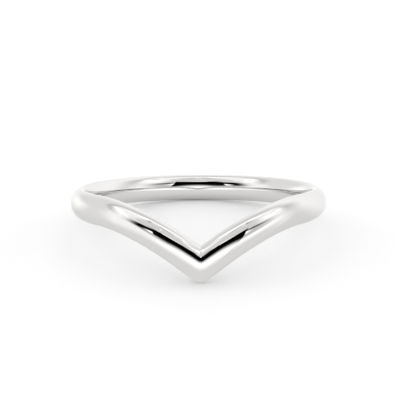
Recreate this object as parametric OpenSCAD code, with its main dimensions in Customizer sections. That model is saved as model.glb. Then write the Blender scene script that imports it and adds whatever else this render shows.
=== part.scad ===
// Chevron ring: a plain polished band, oval in section, whose front dips to a V.
// It lies on its side, resting on the point of the V and on the back of the band.
// Millimetres, +Z up, the V in front (-Y), the origin under the middle of the box around it.

/* [Band] */
// Inside diameter at the middle of the band's width
finger_d = 16.5; // [14:0.1:22]
// Thickness of the band from the inside to the outside
wall = 1.4; // [1.2:0.05:2.4]
// Width of the band, square to its run
band_w = 2.15; // [1.4:0.05:3.5]
// How far the rounded inside swells in from the edges of the band
comfort_rise = 0.6; // [0.2:0.05:0.9]

/* [Chevron] */
// Slope of the chevron's arms against the band
arm_angle = 35; // [15:0.5:42]
// Length of each arm that runs straight, from the point
arm_straight = 1.2; // [0.5:0.1:3]
// Length over which each arm eases into the level band
arm_ease = 7; // [4:0.1:9]
// Length either side of the point over which its lower corner is rounded
point_round = 0.5; // [0.2:0.05:1.5]

/* [Fineness] */
// Steps around the ring
around_steps = 160; // [96:8:192]
// Steps around the band's section
section_steps = 32; // [16:4:32]

/* [Hidden] */

polished_metal = [0.86, 0.86, 0.87];
finger_r = finger_d / 2;
// Radius of the widest place of the section, and of its middle line
widest_r = finger_r + comfort_rise;
middle_r = finger_r + wall / 2;
// How far the outside swells out from the widest place
outer_rise = wall - comfort_rise;
arm_slope = tan(arm_angle);
dip_half = arm_straight + arm_ease;
// Steps at the point are this share of an even step, and those at the back are longer
point_step = 0.55;
// Rounds of halving that find the angle of the lean
lean_rounds = 30;
steepest_lean = 45;

// Turn from the point, in degrees, of each step from the back round to the back again
function turn_at(i) =
    let (x = 2 * i / around_steps - 1)
    180 * x * (point_step + (1 - point_step) * x * x);

// Length along the band from the point, in millimetres
function run_at(turn) = middle_r * turn * PI / 180;

// Distance from the point, with the corner at zero rounded over the given length
function rounded_run(run, length) =
    abs(run) >= length ? abs(run) : (run * run + length * length) / (2 * length);

// How far the middle line lies below the level band
function dip_at(run) = arm_slope * (
    run < arm_straight ? arm_ease / 2 + arm_straight - run
    : run < dip_half ? pow(dip_half - run, 2) / (2 * arm_ease)
    : 0);

// Slope of the middle line
function slope_at(run) = arm_slope * max(0, min(1, (dip_half - run) / arm_ease));

// Half the height of the section along the ring's axis, so that the width square to the run stays even
function half_height(run) = band_w / 2 * sqrt(1 + pow(slope_at(run), 2));

// One point of the skin: turn around the ring, and angle around the section from outside through the top
function skin_point(turn, around) =
    let (
        run = run_at(turn),
        up = sin(around),
        out = cos(around),
        corner = point_round * (1 - up) / 2,
        r = widest_r + out * (out > 0 ? outer_rise : comfort_rise),
        z = half_height(abs(run)) * up - dip_at(rounded_run(run, corner))
    )
    [r * sin(turn), -r * cos(turn), z];

// The closed section at one turn
function section_at(turn) =
    [for (j = [0:section_steps - 1]) skin_point(turn, 360 * j / section_steps)];

// A point of the level ring once its front is lifted by the lean
function leaned(p, lean) =
    [p[0], p[1] * cos(lean) + p[2] * sin(lean), p[2] * cos(lean) - p[1] * sin(lean)];

function lowest(points, lean) = min([for (p = points) leaned(p, lean)[2]]);

// The lean at which the point and the back of the band are equally low
function resting_lean(front, back, low, high, rounds) =
    let (middle = (low + high) / 2)
    rounds == 0 ? middle
    : lowest(front, middle) < lowest(back, middle)
        ? resting_lean(front, back, middle, high, rounds - 1)
        : resting_lean(front, back, low, middle, rounds - 1);

// Two triangles for each patch between neighbouring sections
function skin_faces() = [
    for (i = [0:around_steps - 1])
        for (j = [0:section_steps - 1])
            let (
                next_i = (i + 1) % around_steps,
                next_j = (j + 1) % section_steps,
                a = i * section_steps + j,
                b = next_i * section_steps + j,
                c = next_i * section_steps + next_j,
                d = i * section_steps + next_j
            )
            each [[a, c, b], [a, d, c]]
];

module chevron_band() {
    level = [for (i = [0:around_steps - 1]) each section_at(turn_at(i))];
    lean = resting_lean(section_at(0), section_at(180), 0, steepest_lean, lean_rounds);
    resting = [for (p = level) leaned(p, lean)];
    ys = [for (p = resting) p[1]];
    zs = [for (p = resting) p[2]];
    color(polished_metal)
        translate([0, -(min(ys) + max(ys)) / 2, -min(zs)])
            polyhedron(points = resting, faces = skin_faces(), convexity = 6);
}

chevron_band();
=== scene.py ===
"""Chevron ring of polished white gold, dressed for a soft studio picture on a pale table.

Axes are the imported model's: +Z up, the point of the chevron in front (-Y), metres.
Sizes below are in millimetres and degrees unless a name says otherwise.
"""

import logging
import math
from dataclasses import dataclass, field
from enum import Enum

import bpy
import numpy as np
from mathutils import Matrix, Vector


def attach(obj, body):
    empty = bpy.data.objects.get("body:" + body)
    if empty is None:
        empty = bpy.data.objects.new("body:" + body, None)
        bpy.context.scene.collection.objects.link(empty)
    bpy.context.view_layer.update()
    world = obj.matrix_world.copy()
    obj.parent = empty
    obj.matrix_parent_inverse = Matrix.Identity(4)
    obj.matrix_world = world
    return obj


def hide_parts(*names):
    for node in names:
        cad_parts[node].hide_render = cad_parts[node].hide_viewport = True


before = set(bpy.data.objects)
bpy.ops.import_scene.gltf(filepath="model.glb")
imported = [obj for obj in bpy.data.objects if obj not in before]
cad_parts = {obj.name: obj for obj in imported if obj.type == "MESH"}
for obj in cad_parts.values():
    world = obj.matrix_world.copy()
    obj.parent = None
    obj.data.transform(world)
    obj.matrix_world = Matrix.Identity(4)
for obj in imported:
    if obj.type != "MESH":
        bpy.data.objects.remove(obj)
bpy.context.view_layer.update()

MM = 0.001
HALF_TURN = 180.0

# Light that is one number everywhere, or a socket that gives it for each direction
Level = bpy.types.NodeSocket | float

log = logging.getLogger("chevron_ring")


class Packed(Enum):
    """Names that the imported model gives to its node, its body and its metal."""

    NODE = "chevron_band"
    BODY = "root"
    METAL = "polished_white_gold"


@dataclass(frozen=True)
class BandSection:
    """The band's oval section: two half ellipses, back to back, on the widest radius."""

    finger_d: float = 16.5
    wall: float = 1.4
    width: float = 2.15
    comfort_rise: float = 0.6

    @property
    def widest_r(self) -> float:
        """Radius at which the section is widest along the ring's axis."""
        return self.finger_d / 2 + self.comfort_rise

    @property
    def middle_r(self) -> float:
        """Radius of the middle of the wall, on which lengths along the band are measured."""
        return (self.finger_d + self.wall) / 2

    def radius(self, around: np.ndarray) -> np.ndarray:
        """Distance from the ring's axis: the widest radius plus the rise times cos(around).

        Args:
            around: angle round the section in radians, zero outside and a quarter turn at the top edge.

        Returns:
            Radius at each angle.
        """
        out = np.cos(around)
        rise = np.where(out > 0, self.wall - self.comfort_rise, self.comfort_rise)
        return self.widest_r + out * rise


@dataclass(frozen=True)
class Chevron:
    """The dip of the band's front: two straight arms that ease into the level band.

    A rounded corner shorter than least_corner counts as sharp.
    """

    arm_angle: float = 35.0
    arm_straight: float = 1.2
    arm_ease: float = 7.0
    point_round: float = 0.5
    least_corner: float = 1e-9

    @property
    def steepest(self) -> float:
        """Slope of the straight part of an arm."""
        return math.tan(math.radians(self.arm_angle))

    @property
    def reach(self) -> float:
        """Length along the band from the point to where it runs level."""
        return self.arm_straight + self.arm_ease

    def slope(self, run: np.ndarray) -> np.ndarray:
        """Slope at each length from the point: the arm's while straight, then falling evenly to nothing."""
        return self.steepest * np.clip((self.reach - np.abs(run)) / self.arm_ease, 0, 1)

    def dip(self, run: np.ndarray, corner: np.ndarray) -> np.ndarray:
        """How far the middle line lies under the level band: the slope summed from the level end.

        Near the point the distance is taken as (run^2 + corner^2) / (2 corner), which rounds the point.

        Args:
            run: length along the band from the point.
            corner: length either side of the point that is rounded, zero for a sharp point.

        Returns:
            Depth of the dip at each length.
        """
        away = np.abs(run)
        rounded = (run**2 + corner**2) / np.maximum(2 * corner, self.least_corner)
        away = np.where(away < corner, rounded, away)
        straight = self.arm_ease / 2 + self.arm_straight - away
        eased = np.clip(self.reach - away, 0, None) ** 2 / (2 * self.arm_ease)
        return self.steepest * np.where(away < self.arm_straight, straight, eased)


@dataclass(frozen=True)
class SkinGrid:
    """How finely the skin is divided. Sections stand closer together towards the point."""

    sections: int = 800
    section_points: int = 84
    gathering: float = 2.5

    def parameters(self) -> tuple[np.ndarray, np.ndarray]:
        """The two parameters of the skin on the grid.

        The turn is pi sinh(k x) / sinh(k) for x from -1 to 1, where k is the gathering.

        Returns:
            Turn from the point and angle round the section, in radians, one row for each section.
        """
        x = 2 * np.arange(self.sections) / self.sections - 1
        turn = math.pi * np.sinh(self.gathering * x) / math.sinh(self.gathering)
        around = np.arange(self.section_points) * 2 * math.pi / self.section_points
        return np.meshgrid(turn, around, indexing="ij")


def closed_quads(rows: int, columns: int, joined_rows: bool = True) -> np.ndarray:
    """Faces of a grid whose columns close on themselves, and its rows too if joined.

    Args:
        rows: number of rows of points.
        columns: number of points in a row.
        joined_rows: whether the last row meets the first.

    Returns:
        Four point numbers for each face.
    """
    first = np.arange(rows if joined_rows else rows - 1)
    i, j = np.meshgrid(first, np.arange(columns), indexing="ij")
    next_i, next_j = (i + 1) % rows, (j + 1) % columns
    corners = [i * columns + j, next_i * columns + j, next_i * columns + next_j, i * columns + next_j]
    return np.stack(corners, axis=-1).reshape(-1, 4)


def mesh_object(name: str, points_mm: np.ndarray, faces: list[list[int]]) -> bpy.types.Object:
    """Puts points and faces into a smooth mesh and links its object at the origin.

    Args:
        name: name of the object and its mesh.
        points_mm: one row of x, y and z for each point, in millimetres.
        faces: point numbers of each face.

    Returns:
        The new object.
    """
    mesh = bpy.data.meshes.new(name)
    mesh.from_pydata((points_mm * MM).tolist(), [], faces)
    mesh.polygons.foreach_set("use_smooth", np.ones(len(mesh.polygons), bool))
    mesh.update()
    piece = bpy.data.objects.new(name, mesh)
    bpy.context.scene.collection.objects.link(piece)
    return piece


class NodeBench:
    """Adds and joins the nodes of one material or world."""

    def __init__(self, tree: bpy.types.NodeTree) -> None:
        """Empties the tree and keeps it."""
        self.tree = tree
        tree.nodes.clear()

    def add(
        self, kind: str, inputs: dict[str | int, object] | None = None, **settings: object
    ) -> bpy.types.Node:
        """Adds a node, sets its fields and fills or joins its inputs.

        Args:
            kind: the node's type name.
            inputs: values or output sockets, keyed by the input's name or number.
            settings: fields of the node, such as its operation.

        Returns:
            The new node.
        """
        node = self.tree.nodes.new(kind)
        for key, value in settings.items():
            setattr(node, key, value)
        for key, value in (inputs or {}).items():
            if isinstance(value, bpy.types.NodeSocket):
                self.tree.links.new(value, node.inputs[key])
            else:
                node.inputs[key].default_value = value
        return node

    def math(self, operation: str, *values: Level) -> bpy.types.NodeSocket:
        """Adds the named sum on numbers or sockets, and gives the socket that holds its result."""
        node = self.add("ShaderNodeMath", dict(enumerate(values)), operation=operation)
        return node.outputs[0]

    def fade(self, value: bpy.types.NodeSocket, start: float, end: float) -> bpy.types.NodeSocket:
        """Adds a smooth step that rises from nothing at the start to one at the end.

        Args:
            value: socket that is compared with the two ends.
            start: value at which the step begins.
            end: value at which it is complete.

        Returns:
            The socket that holds the step.
        """
        inputs = {"Value": value, "From Min": start, "From Max": end}
        node = self.add("ShaderNodeMapRange", inputs, interpolation_type="SMOOTHSTEP")
        return node.outputs["Result"]


@dataclass(frozen=True)
class MirrorPolish:
    """Mirror-polished white gold: a warm pale grey, faintly clouded, with fine lines from the buff."""

    colour: tuple[float, float, float] = (0.724, 0.717, 0.708)
    edge_tint: float = 0.85
    clearest: float = 0.020
    dullest: float = 0.045
    cloud_size: float = 1.6
    cloud_detail: float = 3.0
    buff_line_width: float = 0.03
    buff_line_length: float = 2.5
    buff_line_depth: float = 0.00001
    buff_line_detail: float = 2.0

    def material(self) -> bpy.types.Material:
        """The metal: its colour is even, its roughness clouds, and its bump follows the band.

        Returns:
            The material.
        """
        metal = bpy.data.materials.new("mirror_polish")
        metal.use_nodes = True
        bench = NodeBench(metal.node_tree)
        place = bench.add("ShaderNodeTexCoord")
        clouds = bench.add(
            "ShaderNodeTexNoise",
            {
                "Vector": place.outputs["Object"],
                "Scale": 1 / (self.cloud_size * MM),
                "Detail": self.cloud_detail,
            },
        )
        roughness = bench.add(
            "ShaderNodeMapRange",
            {"Value": clouds.outputs[0], "To Min": self.clearest, "To Max": self.dullest},
        )
        stretch = (1 / self.buff_line_length, 1 / self.buff_line_width, 1.0)
        along = bench.add("ShaderNodeMapping", {"Vector": place.outputs["UV"], "Scale": stretch})
        lines = bench.add(
            "ShaderNodeTexNoise",
            {"Vector": along.outputs[0], "Scale": 1.0, "Detail": self.buff_line_detail},
        )
        bump = bench.add(
            "ShaderNodeBump",
            {"Strength": 1.0, "Distance": self.buff_line_depth * MM, "Height": lines.outputs[0]},
        )
        shader = bench.add(
            "ShaderNodeBsdfPrincipled",
            {
                "Base Color": (*self.colour, 1.0),
                "Metallic": 1.0,
                "Specular Tint": (self.edge_tint, self.edge_tint, self.edge_tint, 1.0),
                "Roughness": roughness.outputs[0],
                "Normal": bump.outputs[0],
            },
        )
        bench.add("ShaderNodeOutputMaterial", {"Surface": shader.outputs[0]})
        return metal


@dataclass(frozen=True)
class PaleCard:
    """Matt white card, for the table."""

    whiteness: float = 0.86
    roughness: float = 0.9
    sheen_of_coating: float = 0.1

    def material(self) -> bpy.types.Material:
        """The card, an even matt white.

        Returns:
            The material.
        """
        card = bpy.data.materials.new("pale_card")
        card.use_nodes = True
        bench = NodeBench(card.node_tree)
        shader = bench.add(
            "ShaderNodeBsdfPrincipled",
            {
                "Base Color": (self.whiteness, self.whiteness, self.whiteness, 1.0),
                "Roughness": self.roughness,
                "Specular IOR Level": self.sheen_of_coating,
            },
        )
        bench.add("ShaderNodeOutputMaterial", {"Surface": shader.outputs[0]})
        return card


@dataclass
class ChevronRing:
    """The ring as it lies: one band, leaning back so that its point and its back both touch the table."""

    section: BandSection = field(default_factory=BandSection)
    chevron: Chevron = field(default_factory=Chevron)
    grid: SkinGrid = field(default_factory=SkinGrid)
    finish: MirrorPolish = field(default_factory=MirrorPolish)
    steepest_lean: float = 45.0
    halvings: int = 40
    outline_points: int = 720

    def level_skin(self, turn: np.ndarray, around: np.ndarray) -> np.ndarray:
        """Points of the skin while the ring's axis is upright.

        The height is the half width, grown with the slope so that the width square to the run stays
        even, times sin(around), less the dip. The lower edge is rounded at the point, the upper is not.

        Args:
            turn: angle round the ring from the point, in radians.
            around: angle round the section from the outside, in radians.

        Returns:
            x, y and z along the last axis.
        """
        run = self.section.middle_r * turn
        up = np.sin(around)
        corner = self.chevron.point_round * (1 - up) / 2
        half = self.section.width / 2 * np.sqrt(1 + self.chevron.slope(run) ** 2)
        radius = self.section.radius(around)
        height = half * up - self.chevron.dip(run, corner)
        return np.stack([radius * np.sin(turn), -radius * np.cos(turn), height], axis=-1)

    @staticmethod
    def leaned(points: np.ndarray, lean: float) -> np.ndarray:
        """Points turned about the X axis so that the front rises.

        Args:
            points: x, y and z along the last axis.
            lean: angle in radians.

        Returns:
            The turned points.
        """
        x, y, z = np.moveaxis(points, -1, 0)
        c, s = math.cos(lean), math.sin(lean)
        return np.stack([x, y * c + z * s, z * c - y * s], axis=-1)

    def resting_lean(self) -> float:
        """Angle at which the lowest place of the point is level with that of the back.

        It is found by halving a range, because the front rises as the lean grows.

        Returns:
            The lean in radians.
        """
        around = np.linspace(0, 2 * math.pi, self.outline_points, endpoint=False)
        front = self.level_skin(np.zeros_like(around), around)
        back = self.level_skin(np.full_like(around, math.pi), around)
        low, high = 0.0, math.radians(self.steepest_lean)
        for _ in range(self.halvings):
            middle = (low + high) / 2
            front_is_lower = self.leaned(front, middle)[:, 2].min() < self.leaned(back, middle)[:, 2].min()
            low, high = (middle, high) if front_is_lower else (low, middle)
        return middle

    def build(self) -> bpy.types.Object:
        """Makes the ring's mesh, resting on the table with the middle of its box over the origin.

        Returns:
            The ring's object.
        """
        turn, around = self.grid.parameters()
        lean = self.resting_lean()
        points = self.leaned(self.level_skin(turn, around), lean).reshape(-1, 3)
        front_to_back = (points[:, 1].min() + points[:, 1].max()) / 2
        points -= (0.0, front_to_back, points[:, 2].min())
        ring = mesh_object("chevron_ring", points, closed_quads(*turn.shape).tolist())
        self.lay_out(ring, turn, around)
        log.info("lean %.2f degrees", math.degrees(lean))
        return ring

    def lay_out(self, ring: bpy.types.Object, turn: np.ndarray, around: np.ndarray) -> None:
        """Gives the ring a UV map in millimetres: along the band, and round its section.

        Args:
            ring: the ring's object, whose faces run in the grid's order.
            turn: angle round the ring of each point of the grid.
            around: angle round the section of each point of the grid.
        """
        girth = math.pi * (self.section.wall + self.section.width) / 2
        along = self.section.middle_r * np.append(turn[:, 0], math.pi)
        across = girth * np.append(around[0], 2 * math.pi) / (2 * math.pi)
        rows, columns = turn.shape
        i, j = np.meshgrid(np.arange(rows), np.arange(columns), indexing="ij")
        u = np.stack([along[i], along[i + 1], along[i + 1], along[i]], axis=-1)
        v = np.stack([across[j], across[j], across[j + 1], across[j + 1]], axis=-1)
        layer = ring.data.uv_layers.new(name="along_and_across")
        layer.uv.foreach_set("vector", np.stack([u, v], axis=-1).astype(np.float32).ravel())

    def dress(self, ring: bpy.types.Object) -> None:
        """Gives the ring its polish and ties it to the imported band.

        Args:
            ring: the ring's object.
        """
        ring.data.materials.append(self.finish.material())
        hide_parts(Packed.NODE.value)
        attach(ring, Packed.BODY.value)


@dataclass
class Table:
    """Pale table: a near disc under the ring, and a far sweep that rises to a plain wall.

    The metal mirrors the near disc. Past it the metal mirrors the studio, so the sweep is left
    out of its reflections, and it neither shades the ring nor sends light back to it.
    """

    finish: PaleCard = field(default_factory=PaleCard)
    near_r: float = 8.8
    flat_r: float = 260.0
    bend_r: float = 120.0
    wall_top: float = 500.0
    turns: int = 96
    near_rings: int = 12
    flat_rings: int = 16
    bend_rings: int = 16

    def disc(self) -> bpy.types.Object:
        """The near disc: rings of points about a middle point, all at the table's height.

        Returns:
            The disc's object.
        """
        radii = np.linspace(0, self.near_r, self.near_rings + 1)[1:]
        points, faces = self.turned(radii, np.zeros_like(radii))
        middle = len(points)
        points = np.vstack([points, np.zeros(3)])
        rim = np.arange(self.turns)
        fan = np.stack([np.full_like(rim, middle), rim, (rim + 1) % self.turns], axis=-1)
        return mesh_object("near_table", points, [*faces.tolist(), *fan.tolist()])

    def turned(self, radii: np.ndarray, heights: np.ndarray) -> tuple[np.ndarray, np.ndarray]:
        """A profile carried round the upright axis.

        Args:
            radii: distance of each profile point from the axis.
            heights: height of each profile point.

        Returns:
            Points and faces.
        """
        angle = np.arange(self.turns) * 2 * math.pi / self.turns
        x = radii[:, None] * np.cos(angle)
        y = radii[:, None] * np.sin(angle)
        z = np.broadcast_to(heights[:, None], x.shape)
        points = np.stack([x, y, z], axis=-1).reshape(-1, 3)
        return points, closed_quads(len(radii), self.turns, joined_rows=False)

    def sweep(self) -> bpy.types.Object:
        """The far table: flat, then a quarter circle, then an upright wall.

        Returns:
            The sweep's object.
        """
        flat = np.geomspace(self.near_r, self.flat_r, self.flat_rings)
        bend = np.linspace(0, math.pi / 2, self.bend_rings + 1)[1:]
        radii = [flat, self.flat_r + self.bend_r * np.sin(bend), [self.flat_r + self.bend_r]]
        heights = [np.zeros_like(flat), self.bend_r * (1 - np.cos(bend)), [self.wall_top]]
        points, faces = self.turned(np.concatenate(radii), np.concatenate(heights))
        far = mesh_object("far_table", points, faces.tolist())
        far.visible_glossy = far.visible_diffuse = far.visible_shadow = False
        return far

    def build(self) -> list[bpy.types.Object]:
        """Makes both parts of the table and gives each the pale card.

        Returns:
            The two objects.
        """
        card = self.finish.material()
        parts = [self.disc(), self.sweep()]
        for part in parts:
            part.data.materials.append(card)
        return parts


@dataclass(frozen=True)
class Panel:
    """A soft panel of light or shade round the ring, placed by direction as seen from the ring.

    Bearings are from the front (-Y), positive towards +X. Fades are the widths over which the left,
    right, low and high edges soften. A bow lowers the low or high edge by that many degrees at
    30 degrees from the front, growing squarely. The slant raises both of those edges by that many
    degrees for each degree to the right, and the lean moves the side edges right as they rise.
    A panel that goes all the way round has no side edges. Its numbers are given in this order:
    left, right, low and high edge, glow, the four fades, the two bows, slant and lean.
    """

    left: float
    right: float
    low: float
    high: float
    glow: float
    fades: tuple[float, float, float, float] = (6.0, 6.0, 6.0, 6.0)
    bows: tuple[float, float] = (0.0, 0.0)
    slant: float = 0.0
    lean: float = 0.0


@dataclass(frozen=True)
class Direction:
    """Where a ray of light comes from, as sockets in degrees."""

    bearing: bpy.types.NodeSocket
    elevation: bpy.types.NodeSocket
    bow: bpy.types.NodeSocket


@dataclass(frozen=True)
class Surround:
    """Light from all round: an even dome, with panels laid over one another."""

    dome: float
    panels: dict[str, Panel]

    def glow(self, bench: NodeBench, ray: Direction) -> Level:
        """The light from one direction.

        Args:
            bench: the world's nodes.
            ray: the direction.

        Returns:
            The brightness.
        """
        glow: Level = self.dome
        for panel in self.panels.values():
            glow = self.lay_over(bench, panel, glow, ray)
        return glow

    @staticmethod
    def lay_over(bench: NodeBench, panel: Panel, under: Level, ray: Direction) -> bpy.types.NodeSocket:
        """Lays one panel over what is there: under + (glow - under) times the product of its edges.

        Args:
            bench: the world's nodes.
            panel: the panel.
            under: light without the panel.
            ray: the direction.

        Returns:
            Light with the panel.
        """
        left_fade, right_fade, low_fade, high_fade = panel.fades
        middle = (panel.left + panel.right) / 2
        half = (panel.right - panel.left) / 2
        offset = bench.math("WRAP", bench.math("SUBTRACT", ray.bearing, middle), HALF_TURN, -HALF_TURN)
        level = ray.elevation
        if panel.slant:
            level = bench.math("MULTIPLY_ADD", offset, -panel.slant, level)
        low = bench.math("MULTIPLY_ADD", ray.bow, panel.bows[0], level) if panel.bows[0] else level
        high = bench.math("MULTIPLY_ADD", ray.bow, panel.bows[1], level) if panel.bows[1] else level
        cover = bench.math(
            "MULTIPLY",
            bench.fade(low, panel.low - low_fade / 2, panel.low + low_fade / 2),
            bench.fade(high, panel.high + high_fade / 2, panel.high - high_fade / 2),
        )
        if half < HALF_TURN:
            if panel.lean:
                above = bench.math("SUBTRACT", ray.elevation, (panel.low + panel.high) / 2)
                offset = bench.math("MULTIPLY_ADD", above, -panel.lean, offset)
            left = bench.fade(offset, -half - left_fade / 2, -half + left_fade / 2)
            right = bench.fade(offset, half + right_fade / 2, half - right_fade / 2)
            cover = bench.math("MULTIPLY", cover, bench.math("MULTIPLY", left, right))
        mixed = bench.add("ShaderNodeMix", {"Factor": cover, "A": under, "B": panel.glow}, data_type="FLOAT")
        return mixed.outputs[0]


def mirrored_studio() -> Surround:
    """What the metal mirrors: soft walls and ceiling, bright boxes at the sides, and black in front.

    Returns:
        The studio, its later panels over the earlier ones.
    """
    panels = {
        "left_wall": Panel(-157.2, -87.3, -90, 63.3, 0.98, (40.3, 26.2, 1, 8.8), (0, -0.6), -0.95, -0.05),
        "left_dim": Panel(-118.5, -103.1, 38.4, 61.5, 0.65, (25, 25.2, 20.7, 10), (1.7, -3), -0.03, -1.11),
        "front_grey": Panel(-55.1, 68.3, -11.3, 68.5, 0.86, (52.1, 15, 1, 11.2), (1.6, -3.8), -0.44, 0.48),
        "right_shade": Panel(70.1, 92.9, -23.8, 65, 0.66, (25.6, 48.4, 10, 11.3), (2.6, 1.3), 0.37, 0.66),
        "back_left_sheen": Panel(
            85.6, 137.3, 19.9, 46.5, 1.2, (10.2, 10.1, 2.7, 11), (-2.9, -0.5), -0.49, 0.13
        ),
        "back_right_sheen": Panel(
            -139.1, -94.6, 40.5, 51.6, 0.97, (9.5, 12.9, 10.5, 11.5), (2.7, 1.7), -0.21, -0.21
        ),
        "ceiling_light": Panel(
            -88.2, 84.6, 83.1, 85.5, 2.22, (11.4, 36.7, 4.7, 5), (3.5, -2.8), 0.06, 0.26
        ),
        "zenith": Panel(-180, 180, 89.9, 91, 0.83, (1, 1, 33.4, 1), (2.8, 0)),
        "right_wing": Panel(45.1, 90.2, 61.2, 64.4, 1.48, (8.6, 9.7, 13.7, 1), (1, 0.6), 0.34, 0.05),
        "low_line": Panel(-32.4, 16.4, 35.4, 38.8, 4.3, (10, 9.1, 1.1, 13.8), (-6.4, 5), -0.12, -0.01),
        "left_streak": Panel(
            -98.5, -47.5, 66.2, 67.3, 0.78, (6.6, 10.2, 4.2, 4.9), (1.2, 0.3), 0.39, -0.12
        ),
        "left_line": Panel(-57.6, -6.2, 46.2, 68.3, 0.88, (10.1, 9.2, 1.2, 1.8), (2.3, -1), 1.12, -0.51),
        "left_mark": Panel(-30.4, -22.5, 59.6, 70.2, 0.57, (3.2, 1.5, 1, 2.4), (-5.9, -4.5), 0.51, 0.72),
        "right_mark": Panel(10.7, 42.8, 58.8, 67.3, 0.44, (12.5, 1.9, 5, 2.8), (-6.4, -2.8), -0.52, -0.2),
        "left_spot": Panel(-5.4, -2.4, 52, 64, 1.17, (1.2, 1, 1, 1.2), (-0.8, -0.1), 0.06, 1.07),
        "left_box": Panel(-76, -64.1, 30.9, 44, 3.52, (12, 10, 16.4, 1), (-0.8, -2), 0.48, -1.2),
        "left_column": Panel(
            -76.7, -70.6, -19.3, 36.1, 1.26, (7.1, 6.5, 9.9, 10.2), (2.5, -3.8), 0.02, 0.23
        ),
        "right_box": Panel(51.7, 87.2, 33.6, 46.9, 1.69, (43.6, 8.3, 12.2, 1), (-1.7, -0.8), -0.17, -0.19),
        "right_column": Panel(
            26.5, 79.5, -17.8, 32.7, 1.43, (8.6, 36.6, 32.9, 1), (-2.1, -3), -0.05, -0.09
        ),
        "right_panel": Panel(
            24.3, 61.4, -8.4, 29.6, 0.71, (11.3, 44.6, 5.3, 15.4), (-7.2, -3.2), -0.69, 0.37
        ),
        "right_tail": Panel(28.6, 53.9, 21.7, 29.9, 0.03, (1, 28.7, 4.1, 9.2), (-1.7, -0.5), -0.43, 0.24),
        "black_left": Panel(-58.5, -22.4, 3.1, 26.3, 0, (17.3, 1, 9, 1), (-6, -3.9), 0.57, 0.31),
        "black": Panel(-26.6, 30.8, -11.5, 39.6, 0, (18.3, 1, 1, 1.7), (12.4, -1.5), -0.04, -0.05),
        "horizon": Panel(-45.8, 29.2, -90, 15.8, 1.54, (21.7, 1, 1, 16.8), (0, 10.3), 0.02, 0.07),
        "table": Panel(-180, 180, -90, -9.3, 0.93, (1, 1, 1, 27.8), (0, 1.8)),
        "left_behind": Panel(
            -157.9, -120.6, -16.7, 14.1, 1.44, (31.6, 29.3, 19.8, 13.8), (-0.3, 0.9), -0.08, 0.5
        ),
        "right_behind": Panel(85.2, 155.6, -21, 14.2, 0.91, (16.5, 10.1, 9.9, 53.3), (14.3, 4), -1.2, 0.18),
        "left_glint": Panel(-42, -33.4, 6.4, 20.6, 1.78, (9.5, 1, 7.3, 3.4), (-6.7, -0.7), 0.48, 0.16),
        "right_glint": Panel(30.1, 33.7, 13.5, 26.7, 1.84, (1, 14.2, 4.7, 3.1), (-5.5, -0.9), -0.68, -0.12),
    }
    return Surround(dome=1.251, panels=panels)


def lit_room() -> Surround:
    """What lights the table: a pale room, brightest from the sides and from low behind.

    Returns:
        The room, its later panels over the earlier ones.
    """
    panels = {
        "overhead": Panel(-180, 180, 70, 91, 0.80, (1, 1, 6, 1)),
        "front": Panel(-45, 45, 12, 50, 0.70, (10, 10, 4, 6)),
        "right": Panel(45, 135, 30, 50, 1.05, (10, 10, 4, 6)),
        "back": Panel(135, 225, 30, 50, 0.95, (10, 10, 4, 6)),
        "low": Panel(-180, 180, -90, 12, 0.15, (1, 1, 1, 4)),
        "low_back": Panel(135, 225, -6, 12, 3.0, (10, 10, 4, 4)),
        "left_side": Panel(-135, -45, 12, 30, 2.20, (10, 10, 4, 4)),
        "right_side": Panel(45, 135, 12, 30, 2.25, (10, 10, 4, 4)),
    }
    return Surround(dome=1.35, panels=panels)


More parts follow.
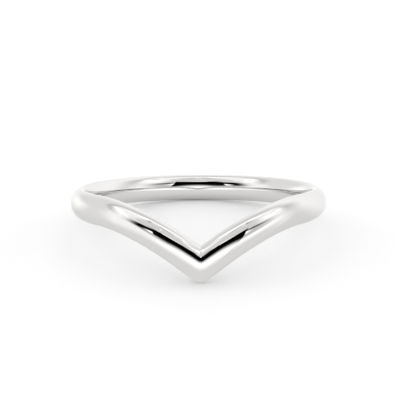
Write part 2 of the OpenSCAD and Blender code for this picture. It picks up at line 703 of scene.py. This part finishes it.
@dataclass
class Studio:
    """The soft studio: panels that the metal mirrors, and an even room that lights the table.

    A bow counts once at bow_at degrees from the front, and grows no more past bow_limit.
    """

    bow_at: float = 30.0
    bow_limit: float = 90.0
    mirrored: Surround = field(default_factory=mirrored_studio)
    room: Surround = field(default_factory=lit_room)

    def build(self) -> bpy.types.World:
        """Makes the world's light. A mirrored ray meets the panels, and any other meets the room.

        Bearing is atan2(x, -y) and elevation is asin(z) of the direction, both in degrees.

        Returns:
            The world.
        """
        world = bpy.data.worlds.new("soft_studio")
        world.use_nodes = True
        bench = NodeBench(world.node_tree)
        place = bench.add("ShaderNodeTexCoord")
        parts = bench.add("ShaderNodeSeparateXYZ", {0: place.outputs["Generated"]})
        x, y, z = parts.outputs
        bearing = bench.math("DEGREES", bench.math("ARCTAN2", x, bench.math("MULTIPLY", y, -1.0)))
        elevation = bench.math("DEGREES", bench.math("ARCSINE", z))
        aside = bench.math("MINIMUM", bench.math("ABSOLUTE", bearing), self.bow_limit)
        bow = bench.math("POWER", bench.math("DIVIDE", aside, self.bow_at), 2.0)
        ray = Direction(bearing, elevation, bow)
        path = bench.add("ShaderNodeLightPath")
        room = bench.add("ShaderNodeBackground", {"Color": self.room.glow(bench, ray)})
        mirrored = bench.add("ShaderNodeBackground", {"Color": self.mirrored.glow(bench, ray)})
        light = bench.add(
            "ShaderNodeMixShader",
            {0: path.outputs["Is Glossy Ray"], 1: room.outputs[0], 2: mirrored.outputs[0]},
        )
        bench.add("ShaderNodeOutputWorld", {"Surface": light.outputs[0]})
        bpy.context.scene.world = world
        return world


@dataclass(frozen=True)
class PictureCamera:
    """The camera of the picture, in front and a little to the left, looking down at the ring.

    It stands at the distance from the aim, and its lens and its sensor are in millimetres too.
    """

    azimuth: float = -0.9
    elevation: float = 17.935
    roll: float = -0.1
    distance: float = 69.82
    aim: tuple[float, float, float] = (0.108, 0.295, 2.728)
    lens: float = 82.69
    sensor: float = 36.0
    nearest: float = 1.0
    farthest: float = 5000.0

    def build(self) -> bpy.types.Object:
        """Makes the camera, aimed by its angles, and gives it to the scene.

        Returns:
            The camera's object.
        """
        turn, rise = math.radians(self.azimuth), math.radians(self.elevation)
        back = Vector((math.sin(turn) * math.cos(rise), -math.cos(turn) * math.cos(rise), math.sin(rise)))
        data = bpy.data.cameras.new("picture_camera")
        data.sensor_width = self.sensor
        data.lens = self.lens
        data.clip_start = self.nearest * MM
        data.clip_end = self.farthest * MM
        camera = bpy.data.objects.new("picture_camera", data)
        aimed = (-back).to_track_quat("-Z", "Y").to_matrix().to_4x4()
        rolled = Matrix.Rotation(math.radians(self.roll), 4, "Z")
        place = Matrix.Translation((Vector(self.aim) + back * self.distance) * MM)
        camera.matrix_world = place @ aimed @ rolled
        bpy.context.scene.collection.objects.link(camera)
        bpy.context.scene.camera = camera
        return camera


def report(piece: bpy.types.Object) -> None:
    """Logs a piece's name, its count of faces and its sides in millimetres."""
    sides = " x ".join(f"{side / MM:.2f}" for side in piece.dimensions)
    log.info("%s: %d faces, %s mm", piece.name, len(piece.data.polygons), sides)


def main() -> None:
    """Builds the ring, its table, its light and its camera, in that order."""
    logging.basicConfig(level=logging.INFO, format="%(name)s: %(message)s")
    maker = ChevronRing()
    ring = maker.build()
    maker.dress(ring)
    report(ring)
    for part in Table().build():
        report(part)
    Studio().build()
    PictureCamera().build()
    bpy.context.scene.view_settings.view_transform = "Standard"


if __name__ == "__main__":
    main()
